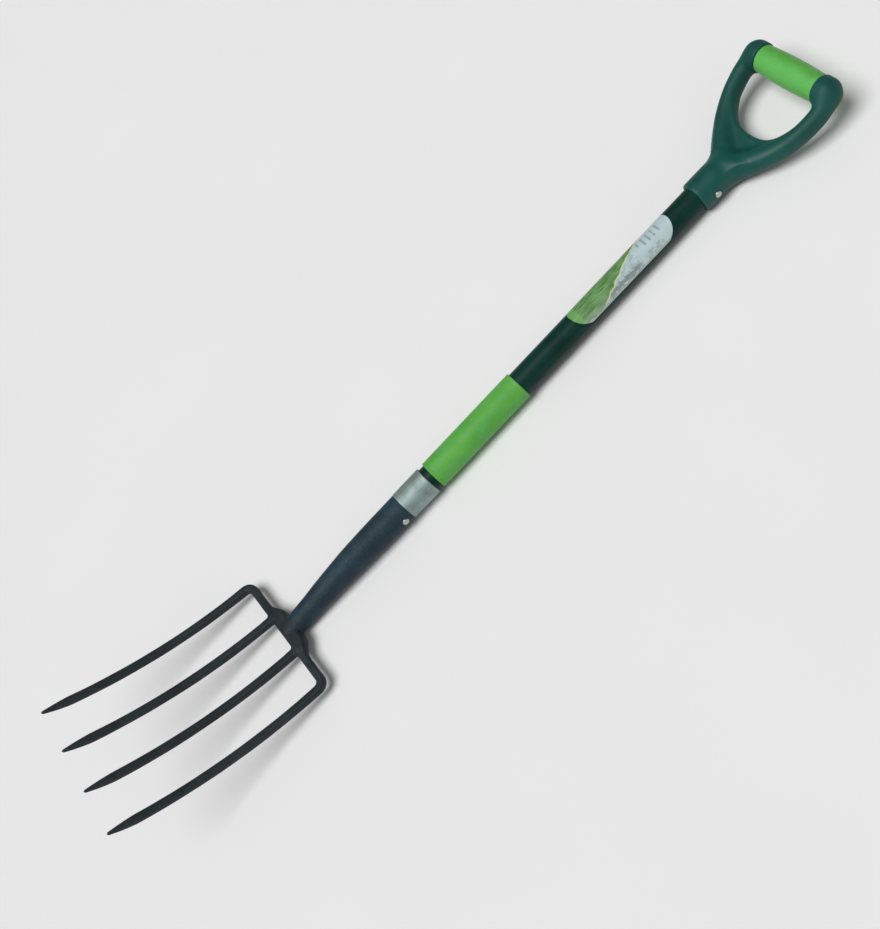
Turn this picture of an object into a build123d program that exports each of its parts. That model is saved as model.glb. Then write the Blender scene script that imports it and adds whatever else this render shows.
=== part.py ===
from build123d import *
from math import cos, pi, radians, sin, sqrt
import os

# A four-tine garden fork that lies on its back. +X runs along the shaft towards the
# D-shaped handle, Y is the width of the head and +Z points out of the hollow side of
# the tines. The pieces are drawn about the shaft's axis, with x = 0 a little below the
# mouth of the handle's neck. place() then moves them all, so that the origin is in the
# middle of the base, on the surface that the fork lies on.

# Shaft: a steel tube with a plastic coat
COAT_RADIUS = 15.0
COAT_THICKNESS = 0.7
TUBE_WALL = 1.5
PUSH_FIT = 0.05                    # radial gap between pieces pushed over each other
SHAFT_TOP_X = 46.0                 # end of the shaft inside the handle's neck
COAT_END_X = -402.0                # the coat stops at the socket's rim
TUBE_END_X = -505.0                # the bare tube goes on into the socket

# Soft sleeve and printed label on the shaft
SLEEVE_TOP_X = -260.5
SLEEVE_END_X = -394.0
SLEEVE_THICKNESS = 2.0
SLEEVE_EDGE = 1.0
LABEL_TOP_X = -25.5
LABEL_LENGTH = 148.0
LABEL_HALF_WIDTH = 23.2            # measured round the shaft from the label's middle
LABEL_THICKNESS = 0.15

# Handle neck
NECK_RADIUS = 18.7
NECK_RIM_X = 10.5
NECK_LIP = 2.4
NECK_END_X = 60.0

# Handle loop, in its own plane, which leans towards the front
LOOP_X = 68.0
LOOP_LEAN = 14.5
BAR_AT = 104.0                     # from the loop's start to the middle of the grip bar
ARM_HALF_WIDTH = 9.5
ARM_HALF_DEPTH = 11.5
ARM_SET_BACK = 2.0                 # the arms' middle lies behind the loop's plane
ARM_SPREAD = 58.5                  # half the distance between the two arms
HOLE_AT = 30.6                     # from the loop's start to the finger gap
HOLE_HALF_WIDTH = 34.0
BOSS_RADIUS = 17.0
BOSS_INNER_Y = 43.0
BOSS_DOME_Y = 54.0
BOSS_END_Y = 66.5
BOSS_RIM = 1.5
BAR_RADIUS = 10.0

# Soft grip on the bar
GRIP_END_RADIUS = 15.2
GRIP_MIDDLE_RADIUS = 16.7

# Ferrule, socket and rivets
FERRULE_TOP_X = -401.0
FERRULE_END_X = -439.5
FERRULE_RADIUS = 17.25
FERRULE_EDGE = 0.6
SOCKET_RADIUS = 16.7
SOCKET_TAPER_X = -478.0
SOCKET_END_X = -604.0
SOCKET_END_RADIUS = 12.6
SOCKET_END_Z = -4.2
RIVET_RADIUS = 2.5
RIVET_HEAD_RADIUS = 4.0
RIVET_HEAD_HEIGHT = 2.2
RIVET_DOME = 1.4
RIVET_SEAT_DEPTH = 0.8
HANDLE_RIVET_X = 28.6
SOCKET_RIVET_X = -449.5

# Head
HUB_X = -620.0
HUB_RADIUS = 12.7
HUB_DROP = 2.1                     # the hub's middle is this far behind the tines' roots
WEB_TOP_X = -614.5
WEB_END_X = -632.0
WEB_THICKNESS = 13.0
WEB_HALF_WIDTH = 46.0
WEB_SHOULDER_Y = 27.0              # the web is at its deepest this far out
ARM_LINE_X = -628.5                # centre line of the arms and of the tines' roots
HEAD_Z = -3.9                      # height of the tines' roots
OUTER_TINE_Y = 85.0
INNER_TINE_Y = 27.4
OUTER_SPLAY = 1.6
INNER_SPLAY = 0.75
STUB_Y = 48.0                      # the crosshead's arms end here
STUB_LENGTH = 14.0                 # the crosshead's stubs for the inner tines
CORNER_RADIUS = 9.5
CORNER_RUN = 14.0
TINE_SIDE = 9.0
TINE_EDGE = 2.5
TINE_LENGTH = 266.0
TINE_POINT = 32.0                  # length of the tapered point
TINE_POINT_SIDE = 1.8
TINE_START_SLOPE = radians(8.7)
TINE_BEND_RADIUS = 580.0

# Worked out
TUBE_RADIUS = COAT_RADIUS - COAT_THICKNESS - PUSH_FIT
AXIS_HEIGHT = HUB_RADIUS - (HEAD_Z - HUB_DROP)
DRILL_LENGTH = 60.0                # longer than anything that it goes through

loop_plane = Plane(
    origin=(LOOP_X, 0, 0),
    x_dir=(cos(radians(LOOP_LEAN)), 0, sin(radians(LOOP_LEAN))),
    z_dir=(-sin(radians(LOOP_LEAN)), 0, cos(radians(LOOP_LEAN))),
)


def turned(*outline):
    """A solid turned about the shaft's axis, from (x, radius) corners."""
    return revolve(Plane.XZ * make_face(Polyline(*outline, close=True)), axis=Axis.X)


def rod(x_start, x_end, radius):
    """A solid cylinder about the shaft's axis."""
    return turned((x_start, 0), (x_end, 0), (x_end, radius), (x_start, radius))


def pipe(x_start, x_end, outer, inner):
    """A ring or tube about the shaft's axis."""
    return turned((x_start, inner), (x_end, inner), (x_end, outer), (x_start, outer))


def through_rivet(x, seat, gap=0.0):
    """A rivet across the shaft, with a domed head on each side that starts at seat."""
    head_radius = RIVET_HEAD_RADIUS + gap
    shank = Cylinder(RIVET_RADIUS + gap, 2 * seat, rotation=(90, 0, 0))
    heads = Part()
    for side in (-1, 1):
        disc = Cylinder(head_radius, RIVET_HEAD_HEIGHT, rotation=(90, 0, 0))
        if gap == 0:
            rim = disc.edges().filter_by(GeomType.CIRCLE).sort_by(Axis.Y)
            disc = fillet(rim[-1] if side > 0 else rim[0], RIVET_DOME)
        heads += Pos(0, side * (seat + RIVET_HEAD_HEIGHT / 2), 0) * disc
    return Pos(x, 0, 0) * (shank + heads)


def rivet_hole(x):
    """The hole that a rivet's shank goes through."""
    drill = Cylinder(RIVET_RADIUS + PUSH_FIT, DRILL_LENGTH, rotation=(90, 0, 0))
    return Pos(x, 0, 0) * drill


def shaft_tube():
    """The steel tube inside the coat, with a hole for each rivet."""
    tube = pipe(SHAFT_TOP_X, TUBE_END_X, TUBE_RADIUS, TUBE_RADIUS - TUBE_WALL)
    for x in (HANDLE_RIVET_X, SOCKET_RIVET_X):
        tube -= rivet_hole(x)
    return tube


def shaft_coat():
    """The plastic coat on the tube, from inside the neck to the socket's rim."""
    coat = pipe(SHAFT_TOP_X, COAT_END_X, COAT_RADIUS, COAT_RADIUS - COAT_THICKNESS)
    return coat - rivet_hole(HANDLE_RIVET_X)


def shaft_sleeve():
    """The soft sleeve for the lower hand, with rounded ends."""
    sleeve = pipe(SLEEVE_TOP_X, SLEEVE_END_X, COAT_RADIUS + SLEEVE_THICKNESS, COAT_RADIUS + PUSH_FIT)
    rims = sleeve.edges().filter_by(GeomType.CIRCLE).group_by(SortBy.RADIUS)[-1]
    return fillet(rims, SLEEVE_EDGE)


def label():
    """The printed film on the front of the shaft, with round ends."""
    inner = COAT_RADIUS + 0.02
    outer = inner + LABEL_THICKNESS
    film = pipe(LABEL_TOP_X, LABEL_TOP_X - LABEL_LENGTH, outer, inner)

    def round_end(x_middle, direction):
        """The end's half circle, as seen from the front once it is wrapped."""
        points = []
        for step in range(-8, 9):
            turn = step / 8 * pi / 2
            across = LABEL_HALF_WIDTH * sin(turn)
            along = LABEL_HALF_WIDTH * cos(turn)
            points.append((x_middle + direction * along, outer * sin(across / outer)))
        return points

    top = round_end(LABEL_TOP_X - LABEL_HALF_WIDTH, 1)
    bottom = round_end(LABEL_TOP_X - LABEL_LENGTH + LABEL_HALF_WIDTH, -1)
    top_edge = Spline(*top)
    bottom_edge = Spline(*bottom)
    outline = make_face(
        [top_edge, Line(top[-1], bottom[-1]), bottom_edge, Line(bottom[0], top[0])]
    )
    side_z = outer * cos(LABEL_HALF_WIDTH / outer)
    return film & extrude(Pos(0, 0, side_z) * outline, amount=2 * outer)


def arm_path(side):
    """The middle line of one arm, from inside the yoke to the end of the grip bar."""
    points = [(-12, 9), (12, 30), (29, 42), (45, 49.5), (60, 54.7), (78, 57.8)]
    points.append((BAR_AT, ARM_SPREAD))
    return Spline(*[(along, side * across) for along, across in points])


def handle_loop():
    """The two arms, the bar between them and the bosses at the bar's ends."""
    loop = Pos(BAR_AT, 0, 0) * Cylinder(BAR_RADIUS, 2 * BOSS_DOME_Y, rotation=(90, 0, 0))
    for side in (-1, 1):
        path = arm_path(side)
        start = path @ 0 - Vector(0, 0, ARM_SET_BACK)
        across = Plane(origin=start, x_dir=(0, 0, 1), z_dir=path % 0)
        loop += sweep(across * Ellipse(ARM_HALF_DEPTH, ARM_HALF_WIDTH), path=path)
        dome_mid = (BOSS_DOME_Y + (BOSS_END_Y - BOSS_DOME_Y) * sqrt(0.5), BOSS_RADIUS * sqrt(0.5))
        half = make_face([
            Polyline((BOSS_END_Y, 0), (BOSS_INNER_Y, 0), (BOSS_INNER_Y, BOSS_RADIUS - BOSS_RIM),
                     (BOSS_INNER_Y + BOSS_RIM, BOSS_RADIUS), (BOSS_DOME_Y, BOSS_RADIUS)),
            ThreePointArc((BOSS_DOME_Y, BOSS_RADIUS), dome_mid, (BOSS_END_Y, 0)),
        ])
        boss = revolve(half, axis=Axis.X)
        loop += Pos(BAR_AT, 0, 0) * Rot(0, 0, side * 90) * boss
    return loop


def yoke():
    """The web that opens out from the round neck to the two arms, scooped on both faces."""
    sections = [Plane.YZ.offset(NECK_END_X) * Circle(NECK_RADIUS)]
    for along, half_width, half_depth in ((5, 25, 14), (18, 34.5, 9.5), (30, 42.5, 7.5), (44, 49, 7)):
        middle = loop_plane.from_local_coords((along, 0, 0))
        across = Plane(origin=middle, x_dir=loop_plane.y_dir, z_dir=loop_plane.x_dir)
        sections.append(across * Ellipse(half_width, half_depth))
    web = loft(sections)
    corner = (HOLE_AT + 11.4, HOLE_HALF_WIDTH)
    far = (HOLE_AT + 50, HOLE_HALF_WIDTH)
    side = (HOLE_AT + 3.4, 19)
    mirrored = [(along, -across) for along, across in (corner, side)]
    hole_edge = Spline(*mirrored, (HOLE_AT, 0), side, corner)
    hole = make_face([hole_edge, Polyline(corner, far, (far[0], -far[1]), mirrored[0])])
    cutter = Pos(0, 0, -DRILL_LENGTH / 2) * extrude(hole, amount=DRILL_LENGTH)
    return web - loop_plane * cutter


def d_handle():
    """The moulded handle: neck, yoke, arms, bosses and bar in one piece."""
    neck = rod(NECK_RIM_X, NECK_END_X, NECK_RADIUS)
    lip = neck.edges().filter_by(GeomType.CIRCLE).sort_by(Axis.X)[0]
    handle = fillet(lip, NECK_LIP) + yoke() + loop_plane * handle_loop()
    handle -= rod(NECK_RIM_X - 1, SHAFT_TOP_X, COAT_RADIUS + PUSH_FIT)
    return handle - through_rivet(HANDLE_RIVET_X, NECK_RADIUS - RIVET_SEAT_DEPTH, gap=PUSH_FIT)


def d_grip():
    """The soft barrel moulded round the bar."""
    half_length = BOSS_INNER_Y - PUSH_FIT
    core = BAR_RADIUS + PUSH_FIT
    ends = [(-half_length, GRIP_END_RADIUS), (half_length, GRIP_END_RADIUS)]
    outline = make_face([
        Polyline(ends[0], (-half_length, core), (half_length, core), ends[1]),
        ThreePointArc(ends[1], (0, GRIP_MIDDLE_RADIUS), ends[0]),
    ])
    barrel = revolve(outline, axis=Axis.X)
    return loop_plane * Pos(BAR_AT, 0, 0) * Rot(0, 0, 90) * barrel


def ferrule():
    """The thin steel band over the socket's rim, turned in over its top edge."""
    skin = SOCKET_RADIUS + PUSH_FIT
    lip = COAT_RADIUS + PUSH_FIT
    return turned(
        (FERRULE_TOP_X, lip), (FERRULE_TOP_X, FERRULE_RADIUS - FERRULE_EDGE),
        (FERRULE_TOP_X - FERRULE_EDGE, FERRULE_RADIUS), (FERRULE_END_X, FERRULE_RADIUS),
        (FERRULE_END_X, skin), (COAT_END_X, skin), (COAT_END_X, lip),
    )


def socket():
    """The tapered socket: straight under the ferrule, then drawn down and set back."""
    straight = rod(COAT_END_X, SOCKET_TAPER_X, SOCKET_RADIUS)
    stations = (
        (SOCKET_TAPER_X, 0, SOCKET_RADIUS),
        (-518, 0.4, 15.7),
        (-560, -0.9, 14.0),
        (SOCKET_END_X, SOCKET_END_Z, SOCKET_END_RADIUS),
    )
    rings = []
    for x, z, radius in stations:
        rings.append(Plane(origin=(x, 0, z), x_dir=(0, 1, 0), z_dir=(1, 0, 0)) * Circle(radius))
    taper = loft(rings)
    body = straight + taper
    body -= rod(COAT_END_X, TUBE_END_X, TUBE_RADIUS + PUSH_FIT)
    return body - through_rivet(SOCKET_RIVET_X, SOCKET_RADIUS - RIVET_SEAT_DEPTH, gap=PUSH_FIT)


def tine_section(plane, side=TINE_SIDE, edge=TINE_EDGE):
    """The rounded square that the arms and tines are forged to."""
    return plane * RectangleRounded(side, side, edge)


def tine_plane(across, splay):
    """The upright plane that a tine bends in, with its origin at the tine's root."""
    turn = radians(splay) * (1 if across > 0 else -1)
    return Plane(
        origin=(ARM_LINE_X, across, HEAD_Z),
        x_dir=(-cos(turn), sin(turn), 0),
        z_dir=(sin(turn), cos(turn), 0),
    )


def tine_place(run):
    """Place and slope in the tine's plane, at a run along its middle line."""
    slope = TINE_START_SLOPE + run / TINE_BEND_RADIUS
    along = TINE_BEND_RADIUS * (sin(slope) - sin(TINE_START_SLOPE))
    up = TINE_BEND_RADIUS * (cos(TINE_START_SLOPE) - cos(slope))
    return along, up, slope


def tine_cut(plane, run):
    """The plane square to the tine's middle line at a run along it."""
    along, up, slope = tine_place(run)
    direction = plane.x_dir * cos(slope) + plane.y_dir * sin(slope)
    return Plane(origin=plane.from_local_coords((along, up, 0)), x_dir=plane.z_dir, z_dir=direction)


def bent_blade(plane, start):
    """The curved length of a tine and its point, from a run along its middle line."""
    tip_start = TINE_LENGTH - TINE_POINT
    places = [tine_place(run)[:2] for run in (start, (start + tip_start) / 2, tip_start)]
    path = plane * ThreePointArc(*places)
    blade = sweep(tine_section(tine_cut(plane, start)), path=path)
    point = loft([
        tine_section(tine_cut(plane, tip_start)),
        tine_section(tine_cut(plane, TINE_LENGTH), TINE_POINT_SIDE, TINE_POINT_SIDE / 4),
    ])
    return blade + point


def inner_tine(side):
    """A tine that grows straight out of the crosshead."""
    return bent_blade(tine_plane(side * INNER_TINE_Y, INNER_SPLAY), STUB_LENGTH)


def outer_tine(side):
    """An arm that runs out from the crosshead and turns the corner into a tine."""
    plane = tine_plane(side * OUTER_TINE_Y, OUTER_SPLAY)
    arm_start = (ARM_LINE_X, side * STUB_Y, HEAD_Z)
    after_corner = tine_cut(plane, CORNER_RUN).origin
    path = FilletPolyline(arm_start, plane.origin, after_corner, radius=CORNER_RADIUS)
    arm = sweep(tine_section(Plane(origin=arm_start, x_dir=(0, 0, 1), z_dir=(0, side, 0))), path=path)
    return arm + bent_blade(plane, CORNER_RUN)


def crosshead():
    """The forged bar across the head, with a hub for the socket and a stub for each tine."""
    arm_top = ARM_LINE_X + TINE_SIDE / 2 - 0.5
    shoulder = [(arm_top, WEB_HALF_WIDTH), (arm_top + 3, WEB_HALF_WIDTH - 7)]
    shoulder += [(WEB_TOP_X, WEB_SHOULDER_Y), (WEB_TOP_X, SOCKET_END_RADIUS)]
    other = [(x, -y) for x, y in reversed(shoulder)]
    foot = [(WEB_END_X + 1, -WEB_HALF_WIDTH), (WEB_END_X, -30), (WEB_END_X, 30)]
    foot += [(WEB_END_X + 1, WEB_HALF_WIDTH), shoulder[0]]
    web_outline = make_face([
        Polyline(*foot), Spline(*shoulder), Line(shoulder[-1], other[0]),
        Spline(*other), Line(other[-1], foot[0]),
    ])
    web = extrude(Pos(0, 0, HEAD_Z - WEB_THICKNESS / 2) * web_outline, amount=WEB_THICKNESS)
    stub_start = WEB_HALF_WIDTH - 8
    for side in (-1, 1):
        end_block = Pos(ARM_LINE_X, side * (WEB_HALF_WIDTH + 4), HEAD_Z) * Box(40, 20, 40)
        web -= end_block - Pos(0, 0, HEAD_Z) * Box(2000, 200, TINE_SIDE)
    neck = Pos(0, 0, SOCKET_END_Z) * rod(SOCKET_END_X, HUB_X, SOCKET_END_RADIUS)
    head = web + neck + Pos(HUB_X, 0, HEAD_Z - HUB_DROP) * Sphere(HUB_RADIUS)
    for side in (-1, 1):
        arm_start = (ARM_LINE_X, side * stub_start, HEAD_Z)
        arm_plane = Plane(origin=arm_start, x_dir=(0, 0, 1), z_dir=(0, side, 0))
        head += extrude(tine_section(arm_plane), amount=STUB_Y - stub_start)
        plane = tine_plane(side * INNER_TINE_Y, INNER_SPLAY)
        places = [tine_place(run)[:2] for run in (0, STUB_LENGTH / 2, STUB_LENGTH)]
        head += sweep(tine_section(tine_cut(plane, 0)), path=plane * ThreePointArc(*places))
    return head


nodes = {
    "d_handle": d_handle(),
    "d_grip": d_grip(),
    "handle_rivet": through_rivet(HANDLE_RIVET_X, NECK_RADIUS - RIVET_SEAT_DEPTH),
    "shaft_tube": shaft_tube(),
    "shaft_coat": shaft_coat(),
    "label": label(),
    "shaft_sleeve": shaft_sleeve(),
    "ferrule": ferrule(),
    "socket_rivet": through_rivet(SOCKET_RIVET_X, SOCKET_RADIUS - RIVET_SEAT_DEPTH),
    "socket": socket(),
    "crosshead": crosshead(),
    "outer_tine_left": outer_tine(1),
    "inner_tine_left": inner_tine(1),
    "inner_tine_right": inner_tine(-1),
    "outer_tine_right": outer_tine(-1),
}

box = Compound(list(nodes.values())).bounding_box()
place = Pos(-(box.min.X + box.max.X) / 2, 0, AXIS_HEIGHT)
os.makedirs("parts", exist_ok=True)
for name, piece in nodes.items():
    export_step(place * piece, f"parts/{name}.step")
print("length", round(box.size.X, 1), "width", round(box.size.Y, 1), "height", round(box.size.Z, 1))
print("shaft axis at x offset", round(place.position.X, 2), "and height", AXIS_HEIGHT)
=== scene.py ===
import math

import bpy
import numpy as np
from mathutils import Matrix, Vector


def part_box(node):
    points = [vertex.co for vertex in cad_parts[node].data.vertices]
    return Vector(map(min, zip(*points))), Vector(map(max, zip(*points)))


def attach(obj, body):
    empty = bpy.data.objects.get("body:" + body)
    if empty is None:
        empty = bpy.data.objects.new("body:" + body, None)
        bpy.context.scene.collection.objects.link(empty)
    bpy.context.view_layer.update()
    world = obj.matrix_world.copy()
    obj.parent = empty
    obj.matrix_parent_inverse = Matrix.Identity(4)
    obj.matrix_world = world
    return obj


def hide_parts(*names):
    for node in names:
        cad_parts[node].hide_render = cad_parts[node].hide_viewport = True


# A four-tine garden fork. Every shape is drawn in millimetres about the shaft's axis, with
# x = 0 near the mouth of the handle's neck, y across the head and z towards the front.
# to_row() takes them to the row frame in metres. The frame's shaft tube gives the place.

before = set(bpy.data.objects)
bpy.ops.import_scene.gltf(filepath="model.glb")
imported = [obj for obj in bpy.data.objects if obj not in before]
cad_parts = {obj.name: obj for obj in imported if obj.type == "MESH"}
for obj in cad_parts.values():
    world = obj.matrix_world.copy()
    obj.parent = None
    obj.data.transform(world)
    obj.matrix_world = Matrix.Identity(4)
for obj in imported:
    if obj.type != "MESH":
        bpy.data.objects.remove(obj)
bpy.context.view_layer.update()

MM = 0.001
SHAFT_TOP_X = 46.0                     # end of the shaft inside the neck
COAT_RADIUS = 15.0
tube_low, tube_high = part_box("shaft_tube")
ORIGIN = np.array([
    tube_high.x - SHAFT_TOP_X * MM,
    (tube_low.y + tube_high.y) / 2,
    (tube_low.z + tube_high.z) / 2,
])


def to_row(points):
    """Drawing millimetres to row-frame metres."""
    return np.asarray(points, float) * MM + ORIGIN


# ---------------------------------------------------------------- meshes

NET_PROBE = 0.2                        # reach of the slope's probe, in steps
NET_MOVE = 0.4                         # furthest that a point moves in one round, in steps
NET_ROUNDS = 3                         # rounds of moving the points onto the surface
LEAST_SLOPE = 0.2                      # squared; keeps a flat spot of the field safe


def make_piece(name, points, faces, nodes, material):
    """A smooth-shaded piece that rides on the body and stands for its CAD nodes."""
    mesh = bpy.data.meshes.new(name)
    mesh.from_pydata(to_row(points).tolist(), [], [list(map(int, f)) for f in faces])
    mesh.validate()
    mesh.update()
    mesh.polygons.foreach_set("use_smooth", [True] * len(mesh.polygons))
    mesh.materials.append(material)
    obj = bpy.data.objects.new(name, mesh)
    bpy.context.scene.collection.objects.link(obj)
    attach(obj, "root")
    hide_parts(*nodes)
    return obj


def lathe(profile, segments):
    """A closed profile of (x, radius) corners turned about the x axis, as quads."""
    profile = np.asarray(profile, float)
    count = len(profile)
    turn = np.linspace(0, 2 * np.pi, segments, endpoint=False)
    x = np.repeat(profile[:, 0][None, :], segments, 0)
    y = np.cos(turn)[:, None] * profile[:, 1][None, :]
    z = np.sin(turn)[:, None] * profile[:, 1][None, :]
    points = np.stack([x, y, z], -1).reshape(-1, 3)
    faces = []
    for i in range(segments):
        j = (i + 1) % segments
        for k in range(count):
            m = (k + 1) % count
            faces.append((i * count + k, j * count + k, j * count + m, i * count + m))
    return points, faces


def arc(cx, cr, radius, start, end, steps):
    """Points of an arc in the (x, radius) plane, in degrees from +x."""
    return [
        (cx + radius * math.cos(math.radians(a)), cr + radius * math.sin(math.radians(a)))
        for a in np.linspace(start, end, steps + 1)
    ]


def run_of(start, end, step):
    """Evenly spaced (x, radius) points between two corners, ends left out."""
    length = math.dist(start, end)
    count = max(2, int(round(length / step)))
    return [
        (start[0] + (end[0] - start[0]) * t, start[1] + (end[1] - start[1]) * t)
        for t in np.linspace(0, 1, count + 1)[1:-1]
    ]


def refine(rows, times):
    """More points on a Catmull-Rom curve through the rows."""
    padded = np.vstack([2 * rows[0] - rows[1], rows, 2 * rows[-1] - rows[-2]])
    out = []
    for a, b, c, d in zip(padded, padded[1:], padded[2:], padded[3:]):
        for t in np.arange(times) / times:
            out.append(0.5 * (2 * b + (c - a) * t + (2 * a - 5 * b + 4 * c - d) * t * t
                              + (3 * b - a - 3 * c + d) * t ** 3))
    out.append(rows[-1])
    return np.array(out)


def surface_net(shape, low, high, step):
    """The zero surface of a distance field as a closed quad mesh, by naive surface nets.

    A point for each cell that the surface crosses, at the mean of the crossings, and a
    quad for each crossed edge of the grid. The points then move onto the surface.
    """
    axes = [np.arange(a, b + step, step) for a, b in zip(low, high)]
    gx, gy, gz = axes[0][:, None, None], axes[1][None, :, None], axes[2][None, None, :]
    value = np.broadcast_to(shape(gx, gy, gz), [len(a) for a in axes]).astype(np.float32)
    cells = tuple(n - 1 for n in value.shape)
    total = np.zeros(cells + (3,), np.float32)
    hits = np.zeros(cells, np.float32)
    crossings = []
    for axis in range(3):
        first = [slice(None)] * 3
        second = [slice(None)] * 3
        first[axis], second[axis] = slice(None, -1), slice(1, None)
        a, b = value[tuple(first)], value[tuple(second)]
        cross = (a < 0) != (b < 0)
        where = np.argwhere(cross)
        share = a[cross] / (a[cross] - b[cross])
        spot = where.astype(np.float32)
        spot[:, axis] += share
        others = [i for i in range(3) if i != axis]
        for da in (0, 1):
            for db in (0, 1):
                cell = where.copy()
                cell[:, others[0]] -= da
                cell[:, others[1]] -= db
                index = tuple(cell.T)
                np.add.at(total, index, spot)
                np.add.at(hits, index, 1)
        crossings.append((axis, where, a[cross] < 0))
    active = hits > 0
    number = np.full(cells, -1, np.int64)
    number[active] = np.arange(active.sum())
    points = total[active] / hits[active][:, None] * step + np.array([a[0] for a in axes])
    faces = []
    for axis, where, inside_first in crossings:
        p, q = [(1, 2), (2, 0), (0, 1)][axis]
        corners = []
        for dp, dq in ((-1, -1), (0, -1), (0, 0), (-1, 0)):
            cell = where.copy()
            cell[:, p] += dp
            cell[:, q] += dq
            corners.append(number[tuple(cell.T)])
        quad = np.stack(corners, 1)
        quad[~inside_first] = quad[~inside_first][:, ::-1]
        faces.append(quad)
    faces = np.concatenate(faces)
    points = points.astype(float)
    probe = step * NET_PROBE
    for _ in range(NET_ROUNDS):
        x, y, z = points.T
        here = shape(x, y, z)
        slope = np.stack([
            shape(x + probe, y, z) - shape(x - probe, y, z),
            shape(x, y + probe, z) - shape(x, y - probe, z),
            shape(x, y, z + probe) - shape(x, y, z - probe),
        ], 1) / (2 * probe)
        size = np.maximum((slope ** 2).sum(1), LEAST_SLOPE)
        move = -slope * (here / size)[:, None]
        length = np.linalg.norm(move, axis=1, keepdims=True)
        points += move * np.minimum(1, NET_MOVE * step / np.maximum(length, 1e-9))
    return points, faces


def blend_min(a, b, k):
    """The union of two distance fields with a fillet of about k."""
    h = np.maximum(k - np.abs(a - b), 0) / k
    return np.minimum(a, b) - h * h * k / 4


def blend_max(a, b, k):
    """The overlap of two distance fields with a rounded edge of about k."""
    return -blend_min(-a, -b, k)


def smooth_step(value, start, end):
    """A smooth rise from 0 to 1 while value goes from start to end."""
    t = np.clip((value - start) / (end - start), 0, 1)
    return t * t * (3 - 2 * t)


def box_field(a, b, half_a, half_b, edge):
    """Distance to a rounded rectangle in the plane of a and b."""
    qa, qb = np.abs(a) - half_a + edge, np.abs(b) - half_b + edge
    outside = np.sqrt(np.maximum(qa, 0) ** 2 + np.maximum(qb, 0) ** 2)
    return outside + np.minimum(np.maximum(qa, qb), 0) - edge


def unevenness(*angles):
    """A slow wave that keeps a forged surface from being perfectly even."""
    return sum(np.sin(a) for a in angles) / len(angles)


# ---------------------------------------------------------------- materials

def srgb(red, green, blue):
    """A colour from 0 to 255 as linear RGBA."""
    def one(v):
        v /= 255
        return v / 12.92 if v <= 0.04045 else ((v + 0.055) / 1.055) ** 2.4
    return (one(red), one(green), one(blue), 1.0)


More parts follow.
